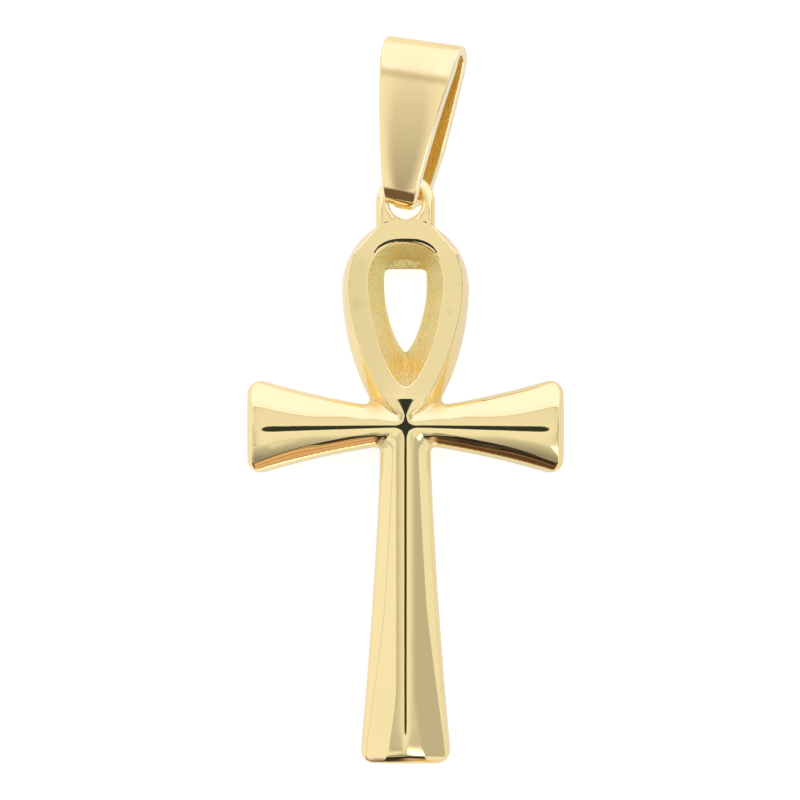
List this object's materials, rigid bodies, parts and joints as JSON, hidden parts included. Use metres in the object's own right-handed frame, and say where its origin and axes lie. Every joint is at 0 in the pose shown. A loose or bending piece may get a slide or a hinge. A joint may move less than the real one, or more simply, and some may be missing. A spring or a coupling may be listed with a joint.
{
  "type": "cross pendant",
  "caption": "Looped cross pendant: flared arms and shaft with a crest, a teardrop loop, an eyelet and a tapered folded bail for a chain.",
  "frame": {"origin": "middle of the whole part's length and width, on the surface that its flat back lies on", "axes": "+Z out of the pendant's front, +Y from the foot of the shaft to the bail, +X along the arms to the wearer's left"},
  "size_m": [0.0222, 0.051, 0.005],
  "materials": {
    "polished_casting": "cast yellow gold, mirror polished outside, left matt inside the loop",
    "polished_band": "polished yellow gold band"
  },
  "bodies": {
    "root": {"cross": "polished_casting", "bail": "polished_band"}
  },
  "joints": []
}
